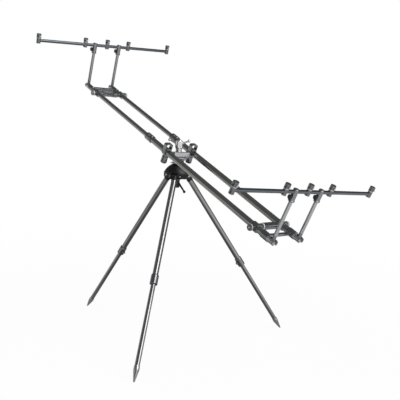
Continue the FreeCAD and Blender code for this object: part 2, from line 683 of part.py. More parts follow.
def crossbar(end):
    """Cross-bar with its thicker grips, bored through."""
    ring_r = end_tube(end)[0] / 2 + CROSS_CLAMP_WALL
    reach = RAIL_SPACING / 2 - ring_r - CROSS_BARREL_IN + CROSSBAR_SOCKET
    profile = [(-reach, CROSSBAR_D / 2)]
    for start, stop, diameter in CROSSBAR_GRIPS[end]:
        profile += [(start, CROSSBAR_D / 2), (start, diameter / 2 - CROSSBAR_EDGE),
                    (start + CROSSBAR_EDGE, diameter / 2), (stop - CROSSBAR_EDGE, diameter / 2),
                    (stop, diameter / 2 - CROSSBAR_EDGE), (stop, CROSSBAR_D / 2)]
    profile.append((reach, CROSSBAR_D / 2))
    at = Vector(-CROSSBAR_INSET, 0, 0)
    bar = turned(profile, far_way(end), at)
    across = Y_AXIS * RAIL_SPACING
    return bar.cut(rod(CROSSBAR_BORE / 2, at.sub(across), at.add(across)))


def end_sleeve_radius(end):
    return end_tube(end)[0] / 2 + SEAT_GAP + END_SLEEVE_WALL


def end_bridge(end):
    """Two sleeves on the rails in front of the forks, welded to a thin rod between them."""
    radius = end_sleeve_radius(end)
    sleeves = [turned([(-END_SLEEVE_START, radius - END_SLEEVE_EDGE),
                       (-END_SLEEVE_START + END_SLEEVE_EDGE, radius),
                       (-END_SLEEVE_STOP - END_SLEEVE_EDGE, radius),
                       (-END_SLEEVE_STOP, radius - END_SLEEVE_EDGE)], X_AXIS, Vector(0, side, 0))
               for side in RAIL_SIDES.values()]
    bar = rod(BRIDGE_ROD_D[end] / 2, Vector(-BRIDGE_ROD_INSET, -RAIL_SPACING / 2, 0),
              Vector(-BRIDGE_ROD_INSET, RAIL_SPACING / 2, 0))
    bores = [rod(end_tube(end)[0] / 2 + SEAT_GAP, Vector(-CROSSBAR_INSET, side, 0),
                 Vector(0, side, 0)) for side in RAIL_SIDES.values()]
    return sleeves[0].fuse([sleeves[1], bar]).cut(bores).removeSplitter()


def fork(end, side):
    """Domed fork on the end of a rail; the upright's eye turns between its cheeks."""
    bore = end_tube(end)[1]
    body = turned([(-FORK_SHOULDER - FORK_SPIGOT, bore / 2 - SEAT_GAP),
                   (-FORK_SHOULDER, bore / 2 - SEAT_GAP), (-FORK_SHOULDER, FORK_D / 2),
                   (FORK_END - FORK_EDGE, FORK_D / 2),
                   (FORK_END - FORK_EDGE / 3, FORK_D / 2 - FORK_EDGE / 3),
                   (FORK_END, FORK_D / 2 - FORK_EDGE)], X_AXIS)
    half_slot = EYE_WIDTH / 2 + FACE_GAP
    slot = box(Vector(-EYE_D / 2 - FACE_GAP, -half_slot, -FORK_D),
               Vector(FORK_END + OVERRUN, half_slot, FORK_D))
    hole = rod(FORK_BOLT_D / 2 + SEAT_GAP, Y_AXIS * -FORK_D, Y_AXIS * FORK_D)
    recess = [rod(FORK_BOLT_HEAD_D / 2 + SEAT_GAP, Y_AXIS * (sign * fork_grip()),
                  Y_AXIS * (sign * FORK_D)) for sign in (-1, 1)]
    return placed(body.cut([slot, hole] + recess), Placement(Vector(0, side, 0), Rotation()))


def fork_grip():
    """Half the length between the heads of a fork's bolt, sunk in its cheeks."""
    return FORK_D / 2 - FORK_BOLT_HEAD


def fork_bolt(side):
    bolt = pivot_bolt(fork_grip(), FORK_BOLT_D, FORK_BOLT_HEAD_D, FORK_BOLT_HEAD)
    return placed(bolt, Placement(Vector(0, side, 0), Rotation()))


def build_end(end):
    place = end_place(end)
    sides = list(RAIL_SIDES.values())
    add(end + "_cross_clamps", *[placed(cross_clamp(end, side), place) for side in sides])
    add(end + "_crossbar", placed(crossbar(end), place))
    add(end + "_end_bridge", placed(end_bridge(end), place))
    add(end + "_forks", *[placed(fork(end, side), place) for side in sides])
    add(end + "_fork_bolts", *[placed(fork_bolt(side), place) for side in sides])


# Upright frames with their buzz bars

def upright_eye():
    """Flat eye in the fork with a shank and a spigot up into the tube."""
    half = Y_AXIS * (EYE_WIDTH / 2)
    eye = rod(EYE_D / 2, half * -1, half)
    shank = rod(UPRIGHT_D / 2, Vector(), Z_AXIS * EYE_SHANK)
    spigot = rod(UPRIGHT_BORE / 2 - SEAT_GAP, Z_AXIS * EYE_SHANK, Z_AXIS * (EYE_SHANK + EYE_SPIGOT))
    hole = rod(FORK_BOLT_D / 2 + PIVOT_GAP, half * -2, half * 2)
    return eye.fuse([shank, spigot]).cut(hole).removeSplitter()


def upright():
    return pipe(UPRIGHT_D / 2, UPRIGHT_BORE / 2, Z_AXIS * EYE_SHANK,
                Z_AXIS * (UPRIGHT_LENGTH - UPRIGHT_TOP_INSET))


def connector(end, side):
    """T-piece: the upright's top plugs in from below and the bar passes across."""
    crossing = crossing_height(end, side)
    low = crossing - CONNECTOR_BELOW
    high = crossing + CONNECTOR_ABOVE
    ring_top = low + CONNECTOR_RING_LENGTH
    body = turned([(low, CONNECTOR_RING_D / 2 - CONNECTOR_EDGE),
                   (low + CONNECTOR_EDGE, CONNECTOR_RING_D / 2),
                   (ring_top - CONNECTOR_EDGE, CONNECTOR_RING_D / 2),
                   (ring_top, CONNECTOR_D / 2), (high - CONNECTOR_EDGE, CONNECTOR_D / 2),
                   (high, CONNECTOR_D / 2 - CONNECTOR_EDGE)])
    socket = rod(UPRIGHT_D / 2 + SEAT_GAP, Z_AXIS * (low - OVERRUN),
                 Z_AXIS * (UPRIGHT_LENGTH - UPRIGHT_TOP_INSET + SEAT_GAP))
    bar_way = Rotation(X_AXIS, BAR_ANGLE[end]).multVec(Y_AXIS) * CONNECTOR_D
    middle = Z_AXIS * crossing
    bar_hole = rod(BUZZ_BAR_D / 2 + SEAT_GAP, middle.sub(bar_way), middle.add(bar_way))
    knob_at = Z_AXIS * bar_knob_height(end, side)
    screw = rod(BAR_SCREW_D / 2 + PIVOT_GAP, knob_at, knob_at.sub(Y_AXIS * CONNECTOR_D))
    return body.cut([socket, bar_hole, screw])


def bar_knob_height(end, side):
    return crossing_height(end, side) - BAR_KNOB_BELOW


def bar_knob(end, side):
    """Lock knob of a connector, along -Y from the upright."""
    face = CONNECTOR_D / 2 + BAR_KNOB_NECK
    head = face + BAR_KNOB_LENGTH
    edge = BAR_KNOB_EDGE
    return turned([(UPRIGHT_D / 2 + FACE_GAP, BAR_SCREW_D / 2), (face, BAR_SCREW_D / 2),
                   (face, BAR_KNOB_D / 2 - edge), (face + edge, BAR_KNOB_D / 2),
                   (head - edge, BAR_KNOB_D / 2), (head, BAR_KNOB_D / 2 - edge)],
                  Y_AXIS * -1, Z_AXIS * bar_knob_height(end, side))


def buzz_bar():
    half = Y_AXIS * (END_REST + BUZZ_BAR_END)
    return pipe(BUZZ_BAR_D / 2, BUZZ_BAR_BORE / 2, half * -1, half)


def rest_places():
    return [-END_REST, -REST_PITCH, 0, REST_PITCH, END_REST]


def rod_boss(place):
    """Turned boss on the bar with a threaded hole for a rod rest."""
    head = BOSS_HEAD_D / 2
    at = Y_AXIS * place
    body = turned([(-BOSS_BELOW, BOSS_D / 2 - BOSS_EDGE), (-BOSS_BELOW + BOSS_EDGE, BOSS_D / 2),
                   (BOSS_NECK_START, BOSS_D / 2), (BOSS_NECK_START, BOSS_NECK_D / 2),
                   (BOSS_HEAD_START, BOSS_NECK_D / 2), (BOSS_HEAD_START, head - BOSS_EDGE / 2),
                   (BOSS_HEAD_START + BOSS_EDGE / 2, head), (BOSS_ABOVE - BOSS_EDGE, head),
                   (BOSS_ABOVE, head - BOSS_EDGE)], Z_AXIS, at)
    thread_top = at.add(Z_AXIS * BOSS_ABOVE)
    thread = rod(REST_THREAD_D / 2, thread_top.sub(Z_AXIS * REST_THREAD_DEPTH),
                 thread_top.add(Z_AXIS * OVERRUN))
    reach = Y_AXIS * (END_REST + BUZZ_BAR_END + SEAT_GAP)
    bar_hole = rod(BUZZ_BAR_D / 2 + SEAT_GAP, reach * -1, reach)
    return body.cut([thread, bar_hole])


def build_frame(end):
    """Two uprights with their connectors and knobs, and the bar with its bosses."""
    place = frame_place(end)
    feet = {name: place.multiply(Placement(Vector(0, side, 0), Rotation()))
            for name, side in RAIL_SIDES.items()}
    add(end + "_upright_eyes", *[placed(upright_eye(), foot) for foot in feet.values()])
    add(end + "_uprights", *[placed(upright(), foot) for foot in feet.values()])
    add(end + "_connectors", *[placed(connector(end, side), feet[name])
                               for name, side in RAIL_SIDES.items()])
    for name, side in RAIL_SIDES.items():
        add(end + "_bar_knob_" + name, placed(bar_knob(end, side), feet[name]))
    bar = bar_place(end)
    add(end + "_buzz_bar", placed(buzz_bar(), bar))
    add(end + "_rod_bosses", *[placed(rod_boss(y), bar) for y in rest_places()])


def build_tripod():
    add("hub_casting", hub_casting())
    add("leg_pivot_bolts", *[leg_pivot_bolt(index) for index in range(LEG_COUNT)])
    for index in range(LEG_COUNT):
        build_leg(index)
    add("clamp_lever", clamp_lever())


def build_head():
    add("king_bolt", king_bolt(), king_washer())
    add("pan_base", pan_base())
    add("head_block", head_block())
    add("wing_knob", wing_knob())
    add("tilt_shaft", tilt_shaft())
    add("rail_clamps", *[rail_clamp(side) for side in RAIL_SIDES.values()])
    for name, side in RAIL_SIDES.items():
        add("clamp_knob_" + name, rail_clamp_knob(side))


def build_rails():
    sides = RAIL_SIDES.values()
    add("outer_rails", *[outer_rail(side) for side in sides])
    add("rail_collars", *[rail_collar(side) for side in sides])
    for name, side in RAIL_SIDES.items():
        add("rail_screw_" + name, rail_screw(side))
    add("inner_rails", *[inner_rail(side) for side in sides])
    for end in ("lower", "upper"):
        build_end(end)
        build_frame(end)


def footprint_shift():
    """From the tripod's axis on the ground to the middle of the pod's box."""
    bounds = Part.makeCompound(list(nodes.values())).optimalBoundingBox(False)
    return Vector(-bounds.Center.x, -bounds.Center.y, -bounds.ZMin)


build_tripod()
build_head()
build_rails()
SHIFT = footprint_shift()
os.makedirs("parts", exist_ok=True)
for node, shape in nodes.items():
    placed(shape, Placement(SHIFT, Rotation())).exportStep("parts/" + node + ".step")
print(len(nodes), "nodes, shift", SHIFT)
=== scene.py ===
import json
import math

import bmesh
import bpy
from mathutils import Matrix, Vector


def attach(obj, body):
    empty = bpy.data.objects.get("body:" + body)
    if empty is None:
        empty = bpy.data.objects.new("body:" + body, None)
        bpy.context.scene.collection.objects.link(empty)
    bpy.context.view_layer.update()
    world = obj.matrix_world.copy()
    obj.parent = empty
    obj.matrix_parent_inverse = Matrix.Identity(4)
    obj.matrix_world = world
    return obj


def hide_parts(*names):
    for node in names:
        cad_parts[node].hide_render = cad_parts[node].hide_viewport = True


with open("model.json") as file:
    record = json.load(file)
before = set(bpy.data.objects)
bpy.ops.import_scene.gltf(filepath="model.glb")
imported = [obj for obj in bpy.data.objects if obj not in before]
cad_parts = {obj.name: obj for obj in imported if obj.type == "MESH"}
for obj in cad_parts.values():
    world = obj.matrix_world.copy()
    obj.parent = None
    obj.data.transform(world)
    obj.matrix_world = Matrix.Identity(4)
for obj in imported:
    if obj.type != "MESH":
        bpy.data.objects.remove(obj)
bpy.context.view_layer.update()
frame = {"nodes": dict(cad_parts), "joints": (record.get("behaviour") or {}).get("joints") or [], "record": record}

MM = 0.001
JOINTS = {joint["name"]: joint for joint in frame["joints"]}
ENDS = ("lower", "upper")
SIDES = ("near", "far")
LEGS = ("1", "2", "3")


# Colours and materials

def linear(hex_colour):
    """An sRGB hex colour as the linear values that Blender's shaders read."""
    values = [int(hex_colour[i:i + 2], 16) / 255 for i in (1, 3, 5)]
    return [v / 12.92 if v <= 0.04045 else ((v + 0.055) / 1.055) ** 2.4 for v in values] + [1.0]


def add_node(tree, kind, settings=None, inputs=(), **links):
    """Add a node with its settings, and feed its inputs, in their order or by name.

    A setting is a property or the value of an input. An input is fed by a socket or a value.
    """
    node = tree.nodes.new(kind)
    for name, value in (settings or {}).items():
        if name in node.inputs:
            node.inputs[name].default_value = value
        else:
            setattr(node, name, value)
    named = [(node.inputs[name.replace("_", " ")], source) for name, source in links.items()]
    for socket, source in [*zip(node.inputs, inputs), *named]:
        if isinstance(source, bpy.types.NodeSocket):
            tree.links.new(source, socket)
        else:
            socket.default_value = source
    return node


def new_material(name):
    material = bpy.data.materials.new(name)
    material.use_nodes = True
    material.node_tree.nodes.clear()
    return material, material.node_tree


# Nearly all of a noise texture lies between these two values
NOISE_SPAN = (0.3, 0.7)
NOISE_DETAIL = 2.0


def drift(tree, patch_mm, low, high):
    """A value that wanders between two levels, over patches of the given size in millimetres."""
    place = add_node(tree, "ShaderNodeTexCoord").outputs["Object"]
    patches = add_node(tree, "ShaderNodeTexNoise",
                       {"Scale": 1 / (patch_mm * MM), "Detail": NOISE_DETAIL}, Vector=place)
    level = add_node(tree, "ShaderNodeMapRange",
                     {"From Min": NOISE_SPAN[0], "From Max": NOISE_SPAN[1],
                      "To Min": low, "To Max": high}, Value=patches.outputs["Fac"])
    return level.outputs[0]


def toned(tree, colour, patch_mm, share):
    """A colour that is a little lighter or darker from patch to patch."""
    tone = add_node(tree, "ShaderNodeVectorMath", {"operation": "SCALE"}, [linear(colour)[:3]],
                    Scale=drift(tree, patch_mm, 1 - share, 1 + share))
    return tone.outputs[0]


def finish_material(tree, shader_settings, **links):
    shader = add_node(tree, "ShaderNodeBsdfPrincipled", shader_settings, **links)
    add_node(tree, "ShaderNodeOutputMaterial", Surface=shader.outputs["BSDF"])


# Uneven dye along an anodised tube: the size of its patches and how far they differ
DYE = {"patch_mm": 45, "share": 0.05}
# The blasted grain is finer than a pixel; it is drawn at 4 mm so that it still breaks the shine
GRAIN_MM = 4
# Thin and thick zinc, and how much smoother or rougher than the rest its clouds are
PLATING = {"patch_mm": 6, "share": 0.06}
CLOUD_MM, CLOUD_SMOOTHER, CLOUD_ROUGHER = 3, 0.04, 0.06
# Pigment and handling marks of a moulding or a painted casting
PIGMENT = {"patch_mm": 12, "share": 0.08}
MARK_MM, MARK = 5, 0.05
# Orange peel is near half a millimetre wide; it is drawn coarser so that it shows
PEEL_MM, PEEL_DEPTH_MM = 2.5, 0.04
PLASTIC_IOR = 1.5


def anodised_aluminium(name, colour, roughness, grain=0.01):
    """Aluminium blasted, dyed and sealed: a dark mirror, its dye a little uneven along a tube."""
    material, tree = new_material(name)
    finish_material(tree, {"Metallic": 1.0}, Base_Color=toned(tree, colour, **DYE),
                    Roughness=drift(tree, GRAIN_MM, roughness - grain, roughness + grain))
    return material


def plated_metal(name, colour, roughness):
    """Zinc-plated steel: bright, with cloudy patches where the plating is thinner."""
    material, tree = new_material(name)
    clouds = drift(tree, CLOUD_MM, roughness - CLOUD_SMOOTHER, roughness + CLOUD_ROUGHER)
    finish_material(tree, {"Metallic": 1.0}, Base_Color=toned(tree, colour, **PLATING),
                    Roughness=clouds)
    return material


def moulded(name, colour, roughness):
    """Moulded nylon or a painted casting: a soft sheen over a fine orange-peel texture."""
    material, tree = new_material(name)
    peel = add_node(tree, "ShaderNodeBump", {"Distance": PEEL_DEPTH_MM * MM, "Strength": 1.0},
                    Height=drift(tree, PEEL_MM, 0, 1))
    finish_material(tree, {"IOR": PLASTIC_IOR}, Base_Color=toned(tree, colour, **PIGMENT),
                    Roughness=drift(tree, MARK_MM, roughness - MARK, roughness + MARK),
                    Normal=peel.outputs["Normal"])
    return material


# Gunmetal on the rails and legs: nearly black where it mirrors the room, with soft pale streaks
RAIL_SKIN = anodised_aluminium("gunmetal_anodised_rail", "#929290", 0.16)
TUBE_SKIN = anodised_aluminium("gunmetal_anodised_tube", "#969696", 0.16)
# Lightly dyed uprights: pale grey with a bright stripe
UPRIGHT_SKIN = anodised_aluminium("bright_anodised_upright", "#acadae", 0.14)
# Bars: a blue-grey dye, darker and softer than the rails
BAR_SKIN = anodised_aluminium("blue_grey_anodised_bar", "#63686c", 0.2)
# Turned fittings: the grain of the blasting shows, so their edges catch the light unevenly
FITTING_SKIN = anodised_aluminium("dark_anodised_fitting", "#848688", 0.17, 0.02)
BOSS_SKIN = anodised_aluminium("dark_anodised_boss", "#6e7072", 0.17, 0.02)
# Forks: light grey and matt
FORK_SKIN = anodised_aluminium("light_anodised_fork", "#b8babc", 0.25, 0.02)
# Head block, bowl and rings: undyed, silver-grey and satin
SILVER = anodised_aluminium("clear_anodised_aluminium", "#c6c5ca", 0.4, 0.02)
# Wing knob: buffed before it was sealed, so it is the brightest piece
POLISHED = anodised_aluminium("polished_aluminium", "#d6d6d8", 0.16)
# Hub: deep black paint with a dull sheen on the edges of its dome
HUB_PAINT = moulded("black_painted_casting", "#070708", 0.42)
# Knuckles, lever and lock knobs: black nylon, a little paler than the paint
# The same black is also painted shade, on the floors of the screw sockets and the cap hollows
BLACK_NYLON_AND_PAINTED_SHADE = moulded("black_nylon_and_painted_shade", "#161617", 0.4)
# Washers: plain white nylon that reads as a pale ring between dark fittings. The rings at the cross-bar's grip and
# behind the clamp caps are painted highlights for the glint on those edges
WHITE_NYLON_AND_PAINTED_HIGHLIGHT = moulded("white_nylon_and_painted_highlight", "#dcdcda", 0.45)
# Bolts, screws and spikes: bright zinc with a cloudy shine
STEEL = plated_metal("plated_steel", "#b8b8b8", 0.25)

NODE_SKINS = {
    "anodised_tube": TUBE_SKIN,
    "anodised_fitting": FITTING_SKIN,
    "silver_fitting": SILVER,
    "hub_black": HUB_PAINT,
    "black_plastic": BLACK_NYLON_AND_PAINTED_SHADE,
    "steel_bolt": STEEL,
}
# Nodes whose finish differs from the others in their slot
OTHER_SKINS = {
    "outer_rails": RAIL_SKIN, "inner_rails": RAIL_SKIN,
    "lower_uprights": UPRIGHT_SKIN,
    "lower_buzz_bar": BAR_SKIN, "upper_buzz_bar": BAR_SKIN,
    "lower_forks": FORK_SKIN, "upper_forks": FORK_SKIN,
}
OTHER_SKINS.update({"foot_spike_" + leg: STEEL for leg in LEGS})
OTHER_SKINS.update({"leg_knuckle_" + leg: BLACK_NYLON_AND_PAINTED_SHADE for leg in LEGS})
for entry in frame["record"]["subparts"]:
    node = frame["nodes"][entry["node"]]
    node.data.materials.clear()
    node.data.materials.append(OTHER_SKINS.get(entry["node"], NODE_SKINS[entry["material_slot"]]))


# Places of the assemblies, taken from the pivots that the frame records

X_WAY, Y_WAY, Z_WAY = Vector((1, 0, 0)), Vector((0, 1, 0)), Vector((0, 0, 1))
# A direction with more than this share of X counts as lying along X
ALONG_X_SHARE = 0.9


def placing(origin, across, along):
    """From a piece's own millimetres to the frame: Y runs across and Z along the piece."""
    across, along = Vector(across).normalized(), Vector(along).normalized()
    turn = Matrix((across.cross(along), across, along)).transposed().to_4x4()
    return Matrix.Translation(Vector(origin)) @ turn @ Matrix.Scale(MM, 4)


def shifted(place, *offset):
    return place @ Matrix.Translation(offset)


def square_to(along):
    """Any direction square to the given one."""
    along = Vector(along).normalized()
    return along.cross(X_WAY if abs(along.x) < ALONG_X_SHARE else Y_WAY).normalized()


def pivot(joint):
    return Vector(JOINTS[joint]["pos_m"])


def joint_place(joint, flip=1):
    """Place of a turning piece: its own Z is the joint's axis."""
    axis = Vector(JOINTS[joint]["axis"]) * flip
    return placing(pivot(joint), square_to(axis), axis)


RAIL_WAY = Vector(JOINTS["rail_slide"]["axis"])
RAIL_SPACING = (pivot("clamp_knob_turn_far").y - pivot("clamp_knob_turn_near").y) / MM
OUTWARD = {"lower": RAIL_WAY, "upper": -RAIL_WAY}
RAIL_BODY = {"lower": "outer_rails", "upper": "inner_rails"}


def rail_end(end, side):
    """End of one rail: origin on the fold axis, Y to the far side, Z outward along the rail."""
    origin = pivot(end + "_frame_fold")
    origin.y = pivot("clamp_knob_turn_" + side).y
    return placing(origin, Y_WAY, OUTWARD[end])


def rest_mounts(end):
    return [mount for mount in frame["record"]["mounts"] if mount["name"].startswith(end)]


def bar_way(end):
    """Along a bar, from its nearest boss to its farthest."""
    mounts = rest_mounts(end)
    return Vector(mounts[-1]["pos_m"]) - Vector(mounts[0]["pos_m"])


# Building pieces

# Faces round a turned shape, a slim one, and the socket of a screw
ROUND, SLIM, HEXAGON = 40, 24, 6
# Edges that turn more than this stay sharp, in degrees
SHARP_DEG = 32
# Lengths in millimetres below which a corner isn't eased and a point lies on the axis
TOO_SHORT_TO_EASE = 0.02
ON_AXIS = 1e-6
# An arc takes at most one part in this many of the line beside it, so that two arcs never meet
EASE_PARTS = 2.2


def eased(profile, ease):
    """Round each inner corner of a profile by a small arc."""
    points = [profile[0]]
    for before, corner, after in zip(profile, profile[1:], profile[2:]):
        here = Vector(corner)
        back, on = Vector(before) - here, Vector(after) - here
        cut = min(ease, back.length / EASE_PARTS, on.length / EASE_PARTS)
        if min(cut, back.length, on.length) < TOO_SHORT_TO_EASE:
            points.append(corner)
            continue
        start, stop = here + back.normalized() * cut, here + on.normalized() * cut
        middle = ((start + stop) / 2 + here) / 2
        points += [tuple(start), tuple(middle), tuple(stop)]
    return points + [profile[-1]]


def closed(profile, ease):
    """An eased profile whose two ends are drawn in to the axis."""
    return [(profile[0][0], 0)] + eased(profile, ease) + [(profile[-1][0], 0)]


def turn_profile(piece, profile, place, skin=0, segments=ROUND, ring=False):
    """Turn pairs of height and radius about the place's Z axis, as a solid or a ring."""
    turns = [2 * math.pi * k / segments for k in range(segments)]
    rows = []
    for height, radius in profile:
        points = [(radius * math.cos(turn), radius * math.sin(turn), height) for turn in turns]
        if radius < ON_AXIS:
            points = [(0, 0, height)]
        rows.append([piece.verts.new(place @ Vector(point)) for point in points])
    pairs = list(zip(rows, rows[1:]))
    if ring:
        pairs.append((rows[-1], rows[0]))
    for low, high in pairs:
        for k in range(segments):
            after = (k + 1) % segments
            corners = [low[k % len(low)], low[after % len(low)],
                       high[after % len(high)], high[k % len(high)]]
            corners = list(dict.fromkeys(corners))
            if len(corners) > 2:
                piece.faces.new(corners).material_index = skin


def make_piece(piece, name, skins, body, replaces=(), sharp=SHARP_DEG):
    """Turn the built geometry into an object that rides on a body of the frame."""
    bmesh.ops.recalc_face_normals(piece, faces=piece.faces)
    mesh = bpy.data.meshes.new(name)
    piece.to_mesh(mesh)
    piece.free()
    for skin in skins:
        mesh.materials.append(skin)
    mesh.shade_smooth()
    mesh.set_sharp_from_angle(angle=math.radians(sharp))
    made = bpy.data.objects.new(name, mesh)
    bpy.context.collection.objects.link(made)
    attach(made, body)
    if replaces:
        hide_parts(*replaces)


# Repeated teeth and threads, grown by node trees

FLOAT, COUNT, SHAPE = "NodeSocketFloat", "NodeSocketInt", "NodeSocketGeometry"
# Sides of a tooth, points along one turn of a thread, and sides of its rib
TOOTH_SIDES, THREAD_STEPS, RIB_SIDES = 4, 20, 4
# The rib of a thread is this share of its pitch
RIB_SHARE = 0.42


def new_tree(name, sizes):
    """A tree with named inputs, and the identifier of each of them."""
    tree = bpy.data.node_groups.new(name, "GeometryNodeTree")
    sockets = {}
    for label, kind in sizes.items():
        socket = tree.interface.new_socket(name=label, in_out="INPUT", socket_type=kind)
        sockets[label] = socket.identifier
    tree.interface.new_socket(name="Geometry", in_out="OUTPUT", socket_type=SHAPE)
    return tree, sockets


def finish_tree(tree, grown_shape):
    real = add_node(tree, "GeometryNodeRealizeInstances", Geometry=grown_shape)
    skin = add_node(tree, "GeometryNodeSetMaterial", {"Material": SILVER},
                    Geometry=real.outputs[0])
    add_node(tree, "NodeGroupOutput", Geometry=skin.outputs[0])


def knurl_tree():
    """Straight knurling: square teeth on edge, side by side in a circle, none across a slot."""
    tree, sockets = new_tree("straight_knurl", {
        "Radius": FLOAT, "Length": FLOAT, "Tooth": FLOAT, "Teeth": COUNT, "Half slot": FLOAT})
    sizes = add_node(tree, "NodeGroupInput").outputs
    circle = add_node(tree, "GeometryNodeMeshCircle",
                      Vertices=sizes["Teeth"], Radius=sizes["Radius"])
    tooth = add_node(tree, "GeometryNodeMeshCylinder", {"Vertices": TOOTH_SIDES},
                     Radius=sizes["Tooth"], Depth=sizes["Length"])
    place = add_node(tree, "GeometryNodeInputPosition").outputs[0]
    facing = add_node(tree, "FunctionNodeAlignRotationToVector", {"axis": "X"}, Vector=place)
    across = add_node(tree, "ShaderNodeSeparateXYZ", Vector=place).outputs["Y"]
    beside = add_node(tree, "ShaderNodeMath", {"operation": "ABSOLUTE"}, [across])
    clear = add_node(tree, "FunctionNodeCompare", {"operation": "GREATER_EQUAL"},
                     A=beside.outputs[0], B=sizes["Half slot"])
    teeth = add_node(tree, "GeometryNodeInstanceOnPoints", Points=circle.outputs["Mesh"],
                     Instance=tooth.outputs["Mesh"], Rotation=facing.outputs[0],
                     Selection=clear.outputs[0])
    finish_tree(tree, teeth.outputs[0])
    return tree, sockets


def thread_tree():
    """Screw thread: a fine rib wound along a spiral of constant radius."""
    tree, sockets = new_tree("screw_thread", {
        "Radius": FLOAT, "Length": FLOAT, "Rib": FLOAT, "Turns": FLOAT})
    sizes = add_node(tree, "NodeGroupInput").outputs
    spiral = add_node(tree, "GeometryNodeCurveSpiral", {"Resolution": THREAD_STEPS},
                      Rotations=sizes["Turns"], Start_Radius=sizes["Radius"],
                      End_Radius=sizes["Radius"], Height=sizes["Length"])
    rib = add_node(tree, "GeometryNodeCurvePrimitiveCircle", {"Resolution": RIB_SIDES},
                   Radius=sizes["Rib"])
    wound = add_node(tree, "GeometryNodeCurveToMesh", {"Fill Caps": True},
                     Curve=spiral.outputs[0], Profile_Curve=rib.outputs[0])
    finish_tree(tree, wound.outputs[0])
    return tree, sockets


KNURL = knurl_tree()
THREAD = thread_tree()


def add_grown(piece, tree_and_sockets, sizes, place, skin):
    """Merge what a node tree grows for the given sizes, in millimetres, into a piece."""
    tree, sockets = tree_and_sockets
    seed = bpy.data.objects.new("seed", bpy.data.meshes.new("seed"))
    bpy.context.collection.objects.link(seed)
    modifier = seed.modifiers.new("grow", "NODES")
    modifier.node_group = tree
    for label, value in sizes.items():
        modifier[sockets[label]] = value
    graph = bpy.context.evaluated_depsgraph_get()
    mesh = bpy.data.meshes.new_from_object(seed.evaluated_get(graph))
    seed.modifiers.clear()
    bpy.data.objects.remove(seed)
    mesh.transform(place)
    first_face = len(piece.faces)
    piece.from_mesh(mesh)
    bpy.data.meshes.remove(mesh)
    piece.faces.ensure_lookup_table()
    for face in piece.faces[first_face:]:
        face.material_index = skin


def knurl(piece, place, radius, start, stop, tooth, skin=0, half_slot=0.0):
    """A knurled band between two heights; the teeth just touch each other."""
    sizes = {"Radius": radius, "Length": stop - start, "Tooth": tooth,
             "Teeth": int(math.pi * radius / tooth), "Half slot": half_slot}
    add_grown(piece, KNURL, sizes, shifted(place, 0, 0, (start + stop) / 2), skin)


def thread(piece, place, radius, start, stop, pitch, skin=0):
    """A thread between two heights."""
    sizes = {"Radius": radius, "Length": stop - start, "Rib": pitch * RIB_SHARE,
             "Turns": (stop - start) / pitch}
    add_grown(piece, THREAD, sizes, shifted(place, 0, 0, start), skin)


# Bosses. All profiles below are pairs of height and radius in millimetres, with their own ease.
# Here the height is above the bar's axis
BOSS = [(-11, 7.8), (8.5, 7.8), (8.5, 7.0), (11.5, 7.0), (11.5, 8.7), (25.5, 8.7), (25.5, 4.35),
        (9.6, 4.35)]
BOSS_EASE = 0.7
BOSS_TOP = 25.5
BOSS_RING = [(8.7, 6.9), (8.7, 8.3), (11.3, 8.3), (11.3, 6.9)]
# The thread that rod rests and bite alarms share: 24 turns to the inch
BOSS_THREAD = {"radius": 4.35, "start": 10, "stop": 25.0, "pitch": 25.4 / 24}
# Knurled side screw, from the boss's axis, and how high it sits
REST_SCREW = [(7.0, 1.8), (9.0, 1.8), (9.0, 3.3), (10.6, 3.3), (10.9, 2.9)]
REST_SCREW_EASE = 0.3
REST_SCREW_KNURL = {"radius": 3.3, "start": 9.2, "stop": 10.5, "tooth": 0.22}
REST_SCREW_HEIGHT = 16.6
QUARTER_TURN = math.radians(90)


def boss_places(end):
    """Place of each boss, with its origin on the bar's axis."""
    for mount in rest_mounts(end):
        along = Vector(mount["axis"])
        below = (BOSS_TOP - mount["dims"]["length_mm"] / 2) * MM
        yield placing(Vector(mount["pos_m"]) - along * below, bar_way(end), along)


def make_bosses(end):
    bosses = bmesh.new()
    for place in boss_places(end):
        turn_profile(bosses, closed(BOSS, BOSS_EASE), place)
        turn_profile(bosses, BOSS_RING, place, 1, ring=True)
        thread(bosses, place, **BOSS_THREAD)
        sideways = shifted(place, 0, 0, REST_SCREW_HEIGHT) @ Matrix.Rotation(QUARTER_TURN, 4, "Y")
        turn_profile(bosses, closed(REST_SCREW, REST_SCREW_EASE), sideways, 1, SLIM)
        knurl(bosses, sideways, skin=1, **REST_SCREW_KNURL)
    make_piece(bosses, end + "_turned_bosses", [BOSS_SKIN, SILVER], end + "_rest_frame",
               [end + "_rod_bosses"])


# Pinch screws of the round collars, outwards from the collar's pad: a shank under a cap head with
# a hexagonal socket, whose radius and floor are shares of the head's radius and height
# The socket's floor is painted black: painted shade inside the socket
PINCH_SHANK = [(-5.6, 0), (-5.6, 2.3), (0.3, 2.3), (0.3, 0)]
PINCH_HEAD_RADIUS, PINCH_HEAD_HEIGHT, PINCH_HEAD_EASE = 4.2, 2.5, 0.3
SOCKET_RADIUS_SHARE, SOCKET_FLOOR_SHARE = 0.55, 0.2


def make_pinch_screw(node, joint):
    screw = bmesh.new()
    place = joint_place(joint)
    turn_profile(screw, PINCH_SHANK, place, segments=SLIM)
    head = shifted(place, 0, 0, PINCH_SHANK[-1][0])
    socket = PINCH_HEAD_RADIUS * SOCKET_RADIUS_SHARE
    floor = PINCH_HEAD_HEIGHT * SOCKET_FLOOR_SHARE
    rim = [(0, PINCH_HEAD_RADIUS), (PINCH_HEAD_HEIGHT, PINCH_HEAD_RADIUS),
           (PINCH_HEAD_HEIGHT, socket), (floor, socket)]
    turn_profile(screw, [(0, 0)] + eased(rim, PINCH_HEAD_EASE), head, segments=SLIM)
    # Black hexagon on the socket's floor: painted shade
    turn_profile(screw, [(floor, socket), (floor, 0)], head, 1, HEXAGON)
    make_piece(screw, node + "_socket_head", [STEEL, BLACK_NYLON_AND_PAINTED_SHADE], node, [node])


